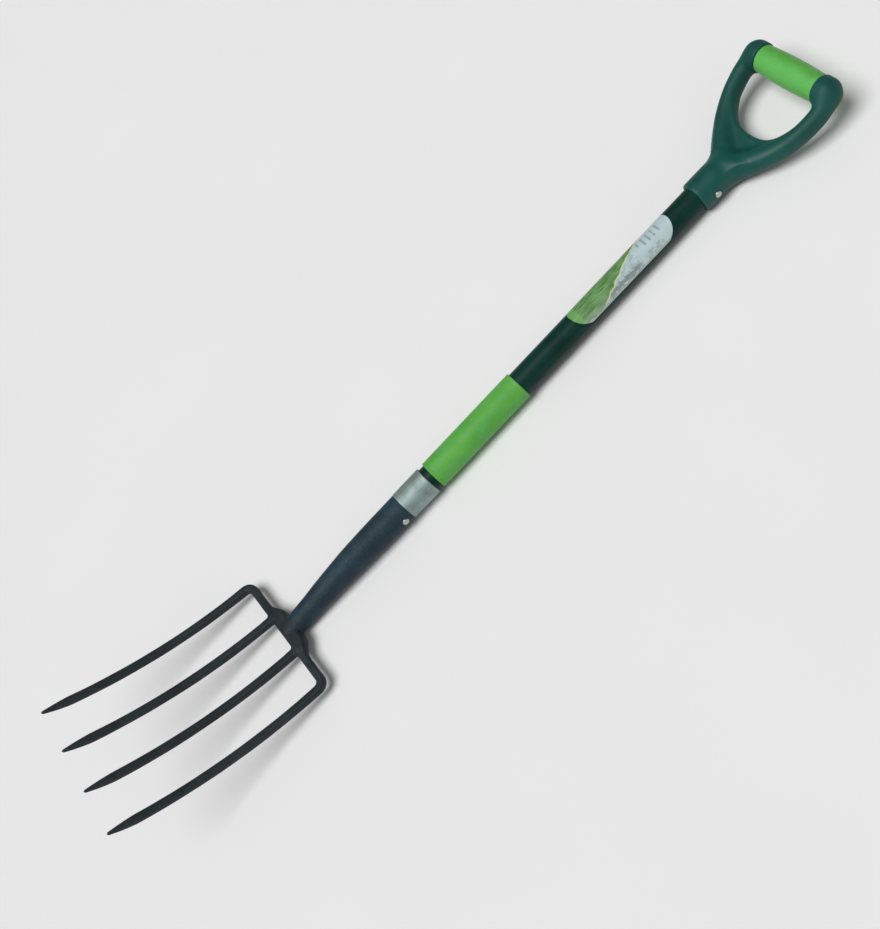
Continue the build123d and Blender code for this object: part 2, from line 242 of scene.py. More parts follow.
class Shader:
    """A material whose nodes are made by short calls. Coordinates are drawing millimetres."""

    def __init__(self, name, **values):
        self.material = bpy.data.materials.new(name)
        self.material.use_nodes = True
        self.tree = self.material.node_tree
        self.surface = self.tree.nodes["Principled BSDF"]
        for key, value in values.items():
            self.surface.inputs[key.replace("_", " ")].default_value = value
        place = self.tree.nodes.new("ShaderNodeTexCoord").outputs["Object"]
        self.place = self.vector("SUBTRACT", place, tuple(ORIGIN))
        self.place = self.vector("MULTIPLY", self.place, (1 / MM, 1 / MM, 1 / MM))

    def put(self, socket, value):
        """Links a socket to another, or sets it."""
        if isinstance(value, bpy.types.NodeSocket):
            self.tree.links.new(value, socket)
        else:
            socket.default_value = value

    def vector(self, operation, a, b):
        node = self.tree.nodes.new("ShaderNodeVectorMath")
        node.operation = operation
        self.put(node.inputs[0], a)
        self.put(node.inputs[1], b)
        return node.outputs[0]

    def split(self, a):
        node = self.tree.nodes.new("ShaderNodeSeparateXYZ")
        self.put(node.inputs[0], a)
        return node.outputs

    def joined(self, x, y, z):
        node = self.tree.nodes.new("ShaderNodeCombineXYZ")
        for socket, value in zip(node.inputs, (x, y, z)):
            self.put(socket, value)
        return node.outputs[0]

    def math(self, operation, a, b=0.0):
        node = self.tree.nodes.new("ShaderNodeMath")
        node.operation = operation
        self.put(node.inputs[0], a)
        self.put(node.inputs[1], b)
        return node.outputs[0]

    def times(self, *values):
        """The product of two or more values."""
        product = values[0]
        for value in values[1:]:
            product = self.math("MULTIPLY", product, value)
        return product

    def steps(self, value, start, end, low=0.0, high=1.0):
        """A smooth change from low to high while value goes from start to end."""
        node = self.tree.nodes.new("ShaderNodeMapRange")
        node.interpolation_type = "SMOOTHSTEP"
        self.put(node.inputs["Value"], value)
        names = ("From Min", "From Max", "To Min", "To Max")
        for key, number in zip(names, (start, end, low, high)):
            node.inputs[key].default_value = number
        return node.outputs["Result"]

    def band(self, value, rise, fall):
        """1 between two soft edges, each given as where it is 0 and where it is 1."""
        return self.times(self.steps(value, *rise), self.steps(value, *fall))

    def noise(self, scale, detail=2.0, place=None, stretch=(1, 1, 1), roughness=0.5):
        """Noise whose grain is about 1 / scale millimetres."""
        node = self.tree.nodes.new("ShaderNodeTexNoise")
        place = self.vector("MULTIPLY", place or self.place, stretch)
        self.put(node.inputs["Vector"], place)
        node.inputs["Scale"].default_value = scale
        node.inputs["Detail"].default_value = detail
        node.inputs["Roughness"].default_value = roughness
        return node.outputs["Fac"]

    def cloud(self, scale, detail, low=0.0, high=1.0):
        """Soft patches that run from low to high."""
        return self.steps(self.noise(scale, detail), 0.3, 0.7, low, high)

    def sway(self, noise, swing):
        """Noise as a wander to either side of 0."""
        return self.times(self.math("SUBTRACT", noise, 0.5), swing)

    def mix(self, factor, a, b):
        node = self.tree.nodes.new("ShaderNodeMix")
        node.data_type = "RGBA"
        self.put(node.inputs["Factor"], factor)
        self.put(node.inputs[6], a)
        self.put(node.inputs[7], b)
        return node.outputs[2]

    def colour(self, value):
        self.put(self.surface.inputs["Base Color"], value)

    def roughness(self, value):
        self.put(self.surface.inputs["Roughness"], value)

    def bump(self, height, distance, strength):
        """Adds relief, with distance in millimetres for a height of 1."""
        node = self.tree.nodes.new("ShaderNodeBump")
        node.inputs["Strength"].default_value = strength
        node.inputs["Distance"].default_value = distance * MM
        self.put(node.inputs["Height"], height)
        last = self.surface.inputs["Normal"]
        if last.is_linked:
            self.put(node.inputs["Normal"], last.links[0].from_socket)
        self.put(last, node.outputs[0])


def handle_material():
    """Teal moulded plastic, rubbed a little smoother near the neck."""
    s = Shader("handle_green", IOR=1.5, Specular_IOR_Level=0.36)
    fleck = s.steps(s.noise(1.6, 2), 0.55, 0.75)
    base = s.mix(s.cloud(0.03, 3), srgb(0, 65, 58), srgb(4, 78, 70))
    s.colour(s.mix(s.times(fleck, 0.25), base, srgb(26, 104, 96)))
    rubbed = s.steps(s.split(s.place)[0], 84, 108, 0.0, 0.12)
    s.roughness(s.math("ADD", s.cloud(0.12, 4, 0.43, 0.51), rubbed))
    s.bump(s.noise(2.2, 2), 0.05, 0.5)
    return s.material


def grip_material():
    """Lime soft rubber with blotches and fine dust."""
    s = Shader("lime_soft_grip", IOR=1.45, Sheen_Weight=0.12, Sheen_Roughness=0.4)
    blotch = s.steps(s.noise(0.11, 2, stretch=(0.6, 1, 1)), 0.45, 0.7)
    base = s.mix(s.cloud(0.05, 3), srgb(82, 162, 58), srgb(92, 172, 66))
    base = s.mix(s.times(blotch, 0.7), base, srgb(84, 164, 90))
    # painted light: the bar's grip is painted paler on its side towards the shaft, the side the
    # light falls on
    x = s.split(s.place)[0]
    wavy_x = s.math("ADD", x, s.sway(s.noise(0.09, 3), 14.0))
    pale = s.times(s.steps(wavy_x, 174, 164), s.steps(x, 120, 140))
    base = s.mix(s.times(pale, 0.7), base, srgb(98, 188, 92))
    dust = s.steps(s.noise(0.8, 3), 0.54, 0.70)
    s.colour(s.mix(s.times(dust, 0.38), base, srgb(58, 144, 48)))
    s.roughness(s.cloud(0.2, 3, 0.50, 0.62))
    s.bump(s.noise(3.2, 2), 0.06, 0.6)
    return s.material


def coat_material():
    """Dark green extruded plastic with faint lines along the shaft."""
    s = Shader("shaft_dark_green", IOR=1.45, Specular_IOR_Level=0.22)
    lines = s.noise(1.0, 3, stretch=(0.02, 1, 1))
    base = s.mix(s.cloud(0.04, 3), srgb(0, 40, 34), srgb(2, 50, 43))
    s.colour(s.mix(s.steps(lines, 0.45, 0.75, 0, 0.35), base, srgb(10, 62, 55)))
    s.roughness(s.cloud(0.15, 4, 0.34, 0.46))
    s.bump(lines, 0.04, 0.5)
    s.bump(s.noise(2.5, 2), 0.03, 0.4)
    return s.material


def steel_material(name, light, dark, rough, stretch_x=0.03):
    """Bare steel, brushed along x unless stretch_x is 1."""
    s = Shader(name, Metallic=1.0)
    lines = s.noise(0.9, 4, stretch=(stretch_x, 1, 1))
    base = s.mix(s.cloud(0.06, 3), dark, light)
    s.colour(s.mix(s.steps(lines, 0.35, 0.7), base, light))
    s.roughness(s.steps(lines, 0.3, 0.7, rough, rough + 0.12))
    s.bump(lines, 0.03, 0.4)
    return s.material


def head_material():
    """Slate blue enamel on the socket, greyer on the forged bar and tines."""
    s = Shader("head_slate_paint", IOR=1.5, Specular_IOR_Level=0.36)
    cloud = s.cloud(0.05, 4)
    fleck = s.steps(s.noise(0.9, 3), 0.55, 0.72)
    socket = s.mix(cloud, srgb(15, 39, 49), srgb(24, 54, 66))
    forged = s.mix(cloud, srgb(22, 31, 33), srgb(33, 43, 45))
    base = s.mix(s.steps(s.split(s.place)[0], -600, -626), socket, forged)
    s.colour(s.mix(s.times(fleck, 0.45), base, srgb(60, 82, 90)))
    s.roughness(s.cloud(0.5, 3, 0.58, 0.72))
    s.bump(s.noise(0.28, 3), 0.35, 0.35)
    s.bump(s.noise(1.8, 2), 0.08, 0.5)
    return s.material


LABEL_RADIUS = 15.1
BAR_PITCH = 6.9
BARS_START = 12.5


def label_material():
    """Printed film: pale grey with rows of bars and smudges, and a corner of grass streaks."""
    label_top = (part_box("label")[1].x - ORIGIN[0]) / MM
    s = Shader("label_film", IOR=1.5)
    x, y, z = s.split(s.place)
    # millimetres down from the label's top, and round from its middle towards +Y
    along = s.math("SUBTRACT", label_top, x)
    around = s.times(s.math("ARCTAN2", y, z), LABEL_RADIUS)
    flat = s.joined(along, around, 0.0)
    face = s.mix(s.noise(0.08, 3, flat), srgb(165, 188, 194), srgb(192, 208, 210))

    row = s.math("FRACT", s.math("DIVIDE", s.math("SUBTRACT", along, BARS_START), BAR_PITCH))
    bars = s.times(
        s.band(row, (0.25, 0.38), (0.72, 0.60)),
        s.band(around, (-6.5, -5.5), (5.4, 4.6)),
        s.band(along, (12.0, 13.0), (48.0, 46.5)),
        s.steps(s.noise(0.11, 1, flat), 0.30, 0.50),
    )
    face = s.mix(s.times(bars, 0.62), face, srgb(104, 122, 126))
    smudge = s.times(
        s.band(around, (-12.0, -13.0), (-22.0, -20.5)),
        s.band(along, (18, 21), (47, 43)),
        s.steps(s.noise(0.2, 1, flat), 0.34, 0.6),
    )
    face = s.mix(s.times(smudge, 0.5), face, srgb(112, 132, 136))
    tone = s.steps(s.noise(0.3, 3, flat, (0.5, 1, 1)), 0.42, 0.62)
    tone = s.times(tone, s.steps(along, 46, 60))
    face = s.mix(s.times(tone, 0.55), face, srgb(138, 158, 150))

    # a ragged dark band down the right
    ragged = s.sway(s.noise(0.22, 3, flat), 11.0)
    off_band = s.math("ADD", s.math("ADD", around, 16.4), ragged)
    band = s.times(
        s.band(off_band, (-4.2, -1.6), (4.0, 1.2)),
        s.band(along, (50, 57), (108, 98)),
    )
    dark = s.noise(0.25, 3, flat, (0.4, 1, 1))
    dark = s.mix(dark, srgb(44, 66, 74), srgb(108, 126, 134))
    face = s.mix(s.times(band, 0.85), face, dark)

    # grass streaks left of a slanting edge with a pale rim
    edge = s.math("ADD", s.times(s.math("SUBTRACT", along, 52.0), -0.40), 4.7)
    edge = s.math("MAXIMUM", edge, -20.5)
    edge = s.math("ADD", edge, s.sway(s.noise(0.12, 2, flat), 6.0))
    over = s.math("SUBTRACT", around, edge)
    blades = s.steps(s.noise(0.42, 3, flat, (0.12, 1, 1), 0.6), 0.40, 0.60)
    blades_fine = s.steps(s.noise(1.4, 2, flat, (0.07, 1, 1), 0.6), 0.5, 0.75, 0, 0.45)
    green = s.mix(blades, srgb(70, 112, 54), srgb(104, 154, 92))
    green = s.mix(blades_fine, green, srgb(136, 176, 116))
    green = s.mix(s.steps(along, 136, 140, 0, 0.6), green, srgb(112, 176, 98))
    face = s.mix(s.band(over, (-1.8, -0.8), (0.9, 0.1)), face, srgb(196, 204, 150))
    face = s.mix(s.steps(over, -0.3, 0.5), face, green)

    # a row of dots down the right edge
    dots = s.steps(s.math("FRACT", s.math("DIVIDE", along, 2.3)), 0.45, 0.6)
    dots = s.times(dots, s.steps(around, -19.9, -20.6))
    face = s.mix(s.times(dots, 0.7), face, srgb(50, 66, 70))
    # painted light: the face is painted paler towards the right edge, which faces down, away from
    # the light
    face = s.mix(s.steps(around, -9.0, -21.0, 0, 0.28), face, srgb(214, 226, 216))
    s.colour(face)
    s.roughness(s.steps(s.noise(0.2, 3, flat), 0.3, 0.7, 0.32, 0.42))
    s.bump(s.noise(0.15, 2, flat), 0.08, 0.3)
    return s.material


handle_plastic = handle_material()
lime = grip_material()
coat_green = coat_material()
ferrule_metal = steel_material(
    "ferrule_brushed", srgb(166, 182, 180), srgb(124, 140, 138), 0.58)
rivet_metal = steel_material(
    "rivet_bright", srgb(196, 196, 192), srgb(156, 156, 152), 0.36, stretch_x=1.0)
tube_metal = steel_material(
    "tube_plain", srgb(170, 172, 172), srgb(120, 124, 126), 0.4)
head_paint = head_material()
label_film = label_material()


def paint_node(node, material):
    """Gives a CAD node that stays its material."""
    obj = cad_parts[node]
    if not obj.material_slots:
        obj.data.materials.append(material)
    for one in obj.material_slots:
        one.material = material


# ---------------------------------------------------------------- handle

LOOP_X = 68.0                          # where the loop's plane meets the shaft's axis
LEAN = math.radians(14.5)              # the loop leans to the front
NECK_RADIUS = 18.7
NECK_RIM_X = 10.5
NECK_TAPER_X = 38.0
NECK_END_X = 54.0
NECK_TAPER = 1.6
PUSH_GAP = 0.06                        # between the neck's bore and the coat
HOLE_AT = 30.6                         # foot of the finger gap, along the loop
HOLE_RISE = 10.5                       # its foot is this much higher at the corners
HOLE_HALF_WIDTH = 34.0
BAR_AT = 104.0                         # middle of the bar, along the loop
BAR_RADIUS = 10.0
BAR_END_Y = 50.0
BOSS_RADIUS = 16.7
BOSS_INNER_Y = 43.0
BOSS_DOME_Y = 52.5
BOSS_DOME = 11.8
BOSS_SCALE = 14.0                      # turns a share of the boss's size to millimetres
GRIP_SPACE = 15.9                      # kept clear of the arms round the soft grip
WEB_FRONT = 2.6                        # the web's faces, from the loop's plane
WEB_FRONT_SWELL = 10.0                 # they run out to the neck's surface
WEB_BACK = 9.5
WEB_BACK_SWELL = 3.0
WEB_START = -18                        # along the loop
HANDLE_RIVET_X = 28.6
RIVET_SEAT_RADIUS = 4.9
RIVET_SEAT_Y = 17.9
# an arm in the loop's plane: along, across, half width, half depth, set back
ARM = np.array([
    (-14, 2.0, 15.6, 15.4, 0.2), (-2, 12.9, 14.6, 14.2, 0.6), (12, 26.4, 12.7, 12.8, 1.2),
    (29, 40.2, 10.9, 11.8, 1.8), (45, 49.2, 9.8, 11.5, 2.0), (60, 54.8, 9.6, 11.5, 2.0),
    (78, 58.3, 9.7, 11.5, 2.0), (92, 58.4, 10.0, 11.8, 1.6), (104, 57.2, 10.6, 12.2, 1.0),
])
ARM_FINE = refine(ARM, 4)


def loop_to_shaft(along, height):
    """x and z on the shaft of a place in the loop's plane."""
    x = LOOP_X + along * math.cos(LEAN) - height * math.sin(LEAN)
    z = along * math.sin(LEAN) + height * math.cos(LEAN)
    return x, z


def arm_field(along, across, height):
    """Distance to one arm, an elliptical rod of changing size in the loop's plane."""
    best = None
    for a, b in zip(ARM_FINE[:-1], ARM_FINE[1:]):
        run = b[:2] - a[:2]
        t = ((along - a[0]) * run[0] + (across - a[1]) * run[1]) / (run @ run)
        t = np.clip(t, 0, 1)
        flat = (along - a[0] - run[0] * t) ** 2 + (across - a[1] - run[1] * t) ** 2
        width, depth, back = (a[i] + (b[i] - a[i]) * t for i in (2, 3, 4))
        part = np.sqrt(flat + ((height + back) * width / depth) ** 2) - width
        best = part if best is None else np.minimum(best, part)
    return best


def web_field(along, wide, height):
    """Distance to the web between the arms, thin and scooped on both faces."""
    near_neck = smooth_step(-along, -13, 4)
    front = WEB_FRONT + WEB_FRONT_SWELL * near_neck
    back = WEB_BACK + WEB_BACK_SWELL * near_neck
    side = 12 + 36 * smooth_step(along, -22, 46)
    web = blend_max(np.maximum(height - front, -height - back), wide - side, 3.0)
    hole_edge = HOLE_AT + HOLE_RISE * (wide / HOLE_HALF_WIDTH) ** 2.4
    web = blend_max(web, along - hole_edge, 5.0)
    return blend_max(web, WEB_START - along, 3.0)


def handle_field(along, across, height):
    """Distance to the moulded handle, in the loop's own plane."""
    wide = np.abs(across)
    x, z = loop_to_shaft(along, height)
    off_axis = np.sqrt(across ** 2 + z ** 2)
    past = np.maximum(x - NECK_END_X, 0)
    neck_radius = NECK_RADIUS - NECK_TAPER * smooth_step(x, NECK_TAPER_X, NECK_END_X)
    neck = np.sqrt(off_axis ** 2 + past ** 2) - neck_radius
    field = blend_min(arm_field(along, wide, height), neck, 8.0)
    field = blend_min(field, web_field(along, wide, height), 7.0)
    # bosses at the ends of the bar
    off_bar = np.sqrt((along - BAR_AT) ** 2 + height ** 2)
    end = np.maximum(wide - BOSS_DOME_Y, 0)
    size = np.sqrt((off_bar / BOSS_RADIUS) ** 2 + (end / BOSS_DOME) ** 2)
    boss = blend_max((size - 1) * BOSS_SCALE, BOSS_INNER_Y - wide, 2.2)
    field = blend_min(field, boss, 7.0)
    grip_space = np.maximum(off_bar - GRIP_SPACE, wide - BOSS_INNER_Y)
    field = np.where(wide < BOSS_INNER_Y, blend_max(field, -grip_space, 1.0), field)
    field = np.minimum(field, np.maximum(off_bar - BAR_RADIUS, wide - BAR_END_Y))
    # neck rim, bore and rivet seats
    field = blend_max(field, NECK_RIM_X - x, 3.6)
    bore = np.maximum(off_axis - COAT_RADIUS - PUSH_GAP, x - SHAFT_TOP_X)
    field = blend_max(field, -bore, 0.8)
    off_rivet = np.sqrt((x - HANDLE_RIVET_X) ** 2 + z ** 2)
    seat = np.maximum(off_rivet - RIVET_SEAT_RADIUS, RIVET_SEAT_Y - wide)
    field = blend_max(field, -seat, 0.6)
    # nothing goes below the neck, which rests on the floor
    return blend_max(field, -z - NECK_RADIUS, 0.4)


step = 0.9
points, faces = surface_net(handle_field, (-68, -70, -24), (124, 70, 40), step)
x, z = loop_to_shaft(points[:, 0], points[:, 2])
points = np.stack([x, points[:, 1], z], 1)
make_piece("handle_moulding", points, faces, ["d_handle"], handle_plastic)

GRIP_HALF = 42.9                       # half the length of the soft barrel on the bar
GRIP_INNER = 10.05
GRIP_FACE = 11.0
GRIP_EDGE = 1.3
GRIP_CORNER = 13.9                     # radius at which the rounded edge starts
GRIP_END_RADIUS = 15.2
GRIP_CROWN = 1.5
GRIP_SIDES = 96

low, high = -GRIP_HALF + GRIP_EDGE, GRIP_HALF - GRIP_EDGE
profile = [(-GRIP_HALF, GRIP_FACE), (-GRIP_HALF, GRIP_CORNER)]
profile += arc(low, GRIP_CORNER, GRIP_EDGE, 180, 90, 5)
for t in np.linspace(low, high, 60)[1:-1]:
    profile.append((t, GRIP_END_RADIUS + GRIP_CROWN * (1 - (t / GRIP_HALF) ** 2)))
profile += arc(high, GRIP_CORNER, GRIP_EDGE, 90, 0, 5)
profile += [(GRIP_HALF, GRIP_FACE), (GRIP_HALF, GRIP_INNER)]
profile += run_of((GRIP_HALF, GRIP_INNER), (-GRIP_HALF, GRIP_INNER), 4)
profile += [(-GRIP_HALF, GRIP_INNER)]
points, faces = lathe(profile, GRIP_SIDES)
# the barrel was turned about x, and its axis goes to y
x, z = loop_to_shaft(points[:, 1] + BAR_AT, points[:, 2])
points = np.stack([x, points[:, 0], z], 1)
faces = [f[::-1] for f in faces]
make_piece("handle_soft_barrel", points, faces, ["d_grip"], lime)

# ---------------------------------------------------------------- shaft

SHAFT_SIDES = 112                      # of the pieces turned about the shaft
SLEEVE_TOP_X = -260.5
SLEEVE_END_X = -394.0
SLEEVE_RADIUS = 17.0
SLEEVE_INNER = 15.06
SLEEVE_EDGE = 1.2
SLEEVE_CORNER = 15.9                   # radius at which the rounded edge starts
GROOVE_AT = 4.2                        # from each end of the sleeve
GROOVE_DEPTH = 0.28
GROOVE_WIDTH = 0.7
SWELL = 0.12                           # the ends stand out this much
SWELL_WIDTH = 2.2


def hump(x, middle, width):
    return math.exp(-((x - middle) / width) ** 2)


def sleeve_radius(x):
    grooves = hump(x, SLEEVE_TOP_X - GROOVE_AT, GROOVE_WIDTH)
    grooves += hump(x, SLEEVE_END_X + GROOVE_AT, GROOVE_WIDTH)
    swell = hump(x, SLEEVE_TOP_X, SWELL_WIDTH) + hump(x, SLEEVE_END_X, SWELL_WIDTH)
    return SLEEVE_RADIUS - GROOVE_DEPTH * grooves + SWELL * swell


profile = [(SLEEVE_TOP_X, SLEEVE_INNER), (SLEEVE_TOP_X, SLEEVE_CORNER)]
profile += arc(SLEEVE_TOP_X - SLEEVE_EDGE, SLEEVE_CORNER, SLEEVE_EDGE, 0, 90, 6)
for x in np.arange(SLEEVE_TOP_X - 2.0, SLEEVE_END_X + 2.0, -0.8):
    profile.append((x, sleeve_radius(x)))
profile += arc(SLEEVE_END_X + SLEEVE_EDGE, SLEEVE_CORNER, SLEEVE_EDGE, 90, 180, 6)
profile += [(SLEEVE_END_X, SLEEVE_CORNER), (SLEEVE_END_X, SLEEVE_INNER)]
profile += run_of((SLEEVE_END_X, SLEEVE_INNER), (SLEEVE_TOP_X, SLEEVE_INNER), 5)
points, faces = lathe(profile, SHAFT_SIDES)
faces = [f[::-1] for f in faces]
make_piece("lower_hand_sleeve", points, faces, ["shaft_sleeve"], lime)

# (x, radius) corners of the ferrule, rolled over the coat at the top and a little flared
# at the bottom
FERRULE_LIP = [(-401.0, 15.07), (-401.0, 15.9)]
FERRULE_ROLL = arc(-402.1, 16.15, 1.1, 20, 90, 6)
FERRULE_FLARE = [(-437.5, 17.3), (-438.6, 17.45), (-439.3, 17.45), (-439.6, 17.2), (-439.5, 16.8)]
FERRULE_SHOULDER = [(-402.0, 16.76), (-402.0, 15.07)]

profile = FERRULE_LIP + FERRULE_ROLL
profile += run_of((-402.1, 17.25), (-436.5, 17.2), 1.2) + FERRULE_FLARE
profile += run_of((-439.5, 16.76), FERRULE_SHOULDER[0], 3) + FERRULE_SHOULDER
points, faces = lathe(profile, SHAFT_SIDES)
faces = [f[::-1] for f in faces]
make_piece("socket_ferrule", points, faces, ["ferrule"], ferrule_metal)

paint_node("shaft_coat", coat_green)
paint_node("shaft_tube", tube_metal)
paint_node("label", label_film)
paint_node("handle_rivet", rivet_metal)
paint_node("socket_rivet", rivet_metal)

# ---------------------------------------------------------------- head

HEAD_Z = -3.9                          # height of the arms and of the tines' roots
ARM_LINE_X = -628.5                    # their middle line
ARM_START_Y = 42.0                     # an outer tine's arm starts inside the crosshead
OUTER_TINE_Y = 85.0
OUTER_SPLAY = 1.6
INNER_TINE_Y = 27.4
INNER_SPLAY = 0.75
INNER_START = 8.0                      # an inner tine starts inside the crosshead's stub
TINE_LENGTH = 265.6
TINE_HALF = 4.45
TINE_THINNING = 0.12
TINE_EDGE = 2.5
POINT_RUN = 34                         # length of the point
POINT_HALF = 1.25
TIP_RUN = 1.4                          # length of the tip's rounding
START_SLOPE = math.radians(8.7)
BEND_RADIUS = 580.0
CORNER_RADIUS = 9.5
CORNER_SWELL = 0.12                    # a bent corner is a little fuller
UNEVEN = 0.012


def sweep_sections(centres, tangents, halves, edges, around=6):
    """Rounded squares along a path that stay upright, closed at both ends."""
    corner = np.linspace(0, math.pi / 2, around)
    points = []
    for centre, tangent, half, edge in zip(centres, tangents, halves, edges):
        tangent = tangent / np.linalg.norm(tangent)
        upward = np.array([0, 0, 1.0]) - tangent[2] * tangent
        upward /= np.linalg.norm(upward)
        side = np.cross(upward, tangent)
        flat = half - edge
        for quarter in range(4):
            cx = flat * (1, -1, -1, 1)[quarter]
            cy = flat * (1, 1, -1, -1)[quarter]
            for a in corner + quarter * math.pi / 2:
                across, up = cx + edge * math.cos(a), cy + edge * math.sin(a)
                points.append(centre + side * across + upward * up)
    rings, count = len(centres), 4 * around
    faces = []
    for i in range(rings - 1):
        for k in range(count):
            m = (k + 1) % count
            a, b = i * count, (i + 1) * count
            faces.append((a + k, a + m, b + m, b + k))
    for ring in (0, rings - 1):
        points.append(centres[ring])
        middle = len(points) - 1
        for k in range(count):
            pair = (ring * count + k, ring * count + (k + 1) % count)
            faces.append((middle,) + (pair if ring else pair[::-1]))
    return np.array(points), faces


def tine_line(across, splay, start):
    """Middle line, directions and runs of a tine from its root."""
    turn = math.radians(splay) * (1 if across > 0 else -1)
    out = np.array([-math.cos(turn), math.sin(turn), 0.0])
    fine_from = TINE_LENGTH - POINT_RUN - 2
    runs = np.concatenate([
        np.arange(start, fine_from, 2.0), np.linspace(fine_from, TINE_LENGTH, 28),
    ])
    slope = START_SLOPE + runs / BEND_RADIUS
    along = BEND_RADIUS * (np.sin(slope) - math.sin(START_SLOPE))
    rise = BEND_RADIUS * (math.cos(START_SLOPE) - np.cos(slope))
    root = np.array([ARM_LINE_X, across, HEAD_Z])
    upright = np.array([0, 0, 1.0])
    centres = root + along[:, None] * out + rise[:, None] * upright
    tangents = np.cos(slope)[:, None] * out + np.sin(slope)[:, None] * upright
    return centres, tangents, runs


def tine_halves(runs, phase):
    """Half the tine's side: a little uneven, and drawn out to a blunt point."""
    half = TINE_HALF - TINE_THINNING * smooth_step(runs, 60, 200)
    half = half * (1 + UNEVEN * unevenness(runs / 9.0 + phase, runs / 23.0 + 2.1 * phase))
    share = np.clip((runs - (TINE_LENGTH - POINT_RUN)) / POINT_RUN, 0, 1)
    half = POINT_HALF + (half - POINT_HALF) * (1 - share ** 1.6)
    end = np.clip((runs - (TINE_LENGTH - TIP_RUN)) / TIP_RUN, 0, 1)
    return half * np.sqrt(np.maximum(1 - 0.85 * end ** 2, 0.05))


def add_arm(centres, tangents, runs, halves, across, phase):
    """An outer tine's arm and bent corner, put before the tine's own sections."""
    side = 1 if across > 0 else -1
    root = np.array([ARM_LINE_X, across, HEAD_Z])
    along_arm = np.array([0, side * 1.0, 0])
    out = tangents[0] / np.linalg.norm(tangents[0])
    begin = root - along_arm * CORNER_RADIUS
    turn = np.linspace(0, math.pi / 2, 14)[:-1]
    forward, outward = np.sin(turn)[:, None], (1 - np.cos(turn))[:, None]
    bend = begin + CORNER_RADIUS * (forward * along_arm + outward * out)
    bend_way = np.cos(turn)[:, None] * along_arm + np.sin(turn)[:, None] * out
    reach = np.arange(ARM_START_Y, abs(across) - CORNER_RADIUS, 2.0)
    line_x, line_z = np.full_like(reach, ARM_LINE_X), np.full_like(reach, HEAD_Z)
    arm = np.stack([line_x, side * reach, line_z], 1)
    arm_way = np.repeat(along_arm[None, :], len(reach), 0)
    # the tine starts where the corner ends
    shift = root + out * CORNER_RADIUS - centres[0]
    centres = centres + shift * np.clip(1 - (runs - runs[0]) / 30, 0, 1)[:, None]
    arm_half = TINE_HALF * (1 + UNEVEN * unevenness(reach / 6.0 + phase))
    arm_half = arm_half + CORNER_SWELL * smooth_step(reach, 60, 76)
    bend_half = TINE_HALF + CORNER_SWELL + 0.10 * np.sin(2 * turn)
    halves = halves + CORNER_SWELL * np.clip(1 - (runs - runs[0]) / 20, 0, 1)
    return (
        np.vstack([arm, bend, centres]),
        np.vstack([arm_way, bend_way, tangents]),
        np.concatenate([arm_half, bend_half, halves]),
    )


def make_tine(name, node, across, splay, phase):
    outer = abs(across) == OUTER_TINE_Y
    start = CORNER_RADIUS if outer else INNER_START
    centres, tangents, runs = tine_line(across, splay, start)
    halves = tine_halves(runs, phase)
    if outer:
        centres, tangents, halves = add_arm(centres, tangents, runs, halves, across, phase)
    edges = np.minimum(TINE_EDGE, halves * 0.62)
    points, faces = sweep_sections(centres, tangents, halves, edges)
    make_piece(name, points, faces, [node], head_paint)


make_tine("tine_outer_left", "outer_tine_left", OUTER_TINE_Y, OUTER_SPLAY, 0.3)
make_tine("tine_inner_left", "inner_tine_left", INNER_TINE_Y, INNER_SPLAY, 1.7)
make_tine("tine_inner_right", "inner_tine_right", -INNER_TINE_Y, INNER_SPLAY, 2.9)
make_tine("tine_outer_right", "outer_tine_right", -OUTER_TINE_Y, OUTER_SPLAY, 4.4)

SOCKET_END_Z = -4.2
THROAT_START_X = -597.0                # the throat starts inside the socket
THROAT_STOP_X = -629.5
THROAT_RADIUS = 12.35
THROAT_SWELL = 0.45                    # a little fuller once it is out of the socket
THROAT_THINNING = 2.6
THROAT_DROP = 2.0
BAR_TOP_X = -623.9                     # the bar's edges at its ends, where it is narrow
BAR_BOTTOM_X = -633.0
BAR_HALF_DEPTH = 4.6
BAR_EDGE = 2.6
BAR_STOP_Y = 48.0
HUB_TOP = 9.4                          # what the bar's measures gain at the hub
HUB_BOTTOM = 0.4
HUB_HALF_DEPTH = 2.7
HUB_EDGE = 2.4
STUB_HALF = 4.6
STUB_EDGE = 2.6
STUB_RUN = 13.8
FORGED_WAVE = 0.07
HEEL = (-619.0, -8.6, 10.1)            # ball that the head rests on: x, z and radius
HEEL_FLAT_Z = -18.65                   # the heel is cut flat just above the floor


def bar_field(x, wide, z):
    """Distance to the flat bar, deep at the hub and narrow at its ends."""
    swell = 1 - smooth_step(wide, 20, 45)
    top = BAR_TOP_X + HUB_TOP * swell
    bottom = BAR_BOTTOM_X + HUB_BOTTOM * swell
    half_depth = BAR_HALF_DEPTH + HUB_HALF_DEPTH * swell
    edge = BAR_EDGE + HUB_EDGE * swell
    bar = box_field(x - (top + bottom) / 2, z - HEAD_Z, (top - bottom) / 2, half_depth, edge)
    return np.maximum(bar, wide - BAR_STOP_Y)


def throat_field(x, y, z):
    """Distance to the socket's run into the bar, which gets thinner and lower."""
    into = smooth_step(-x, 600, 634)
    radius = THROAT_RADIUS + THROAT_SWELL * smooth_step(-x, 597, 606) - THROAT_THINNING * into
    middle = SOCKET_END_Z + 0.5 * smooth_step(x, -604, -594) - THROAT_DROP * into
    throat = np.sqrt(y ** 2 + (z - middle) ** 2) - radius
    throat = np.maximum(throat, x - THROAT_START_X)
    return blend_max(throat, THROAT_STOP_X - x, 5.0)


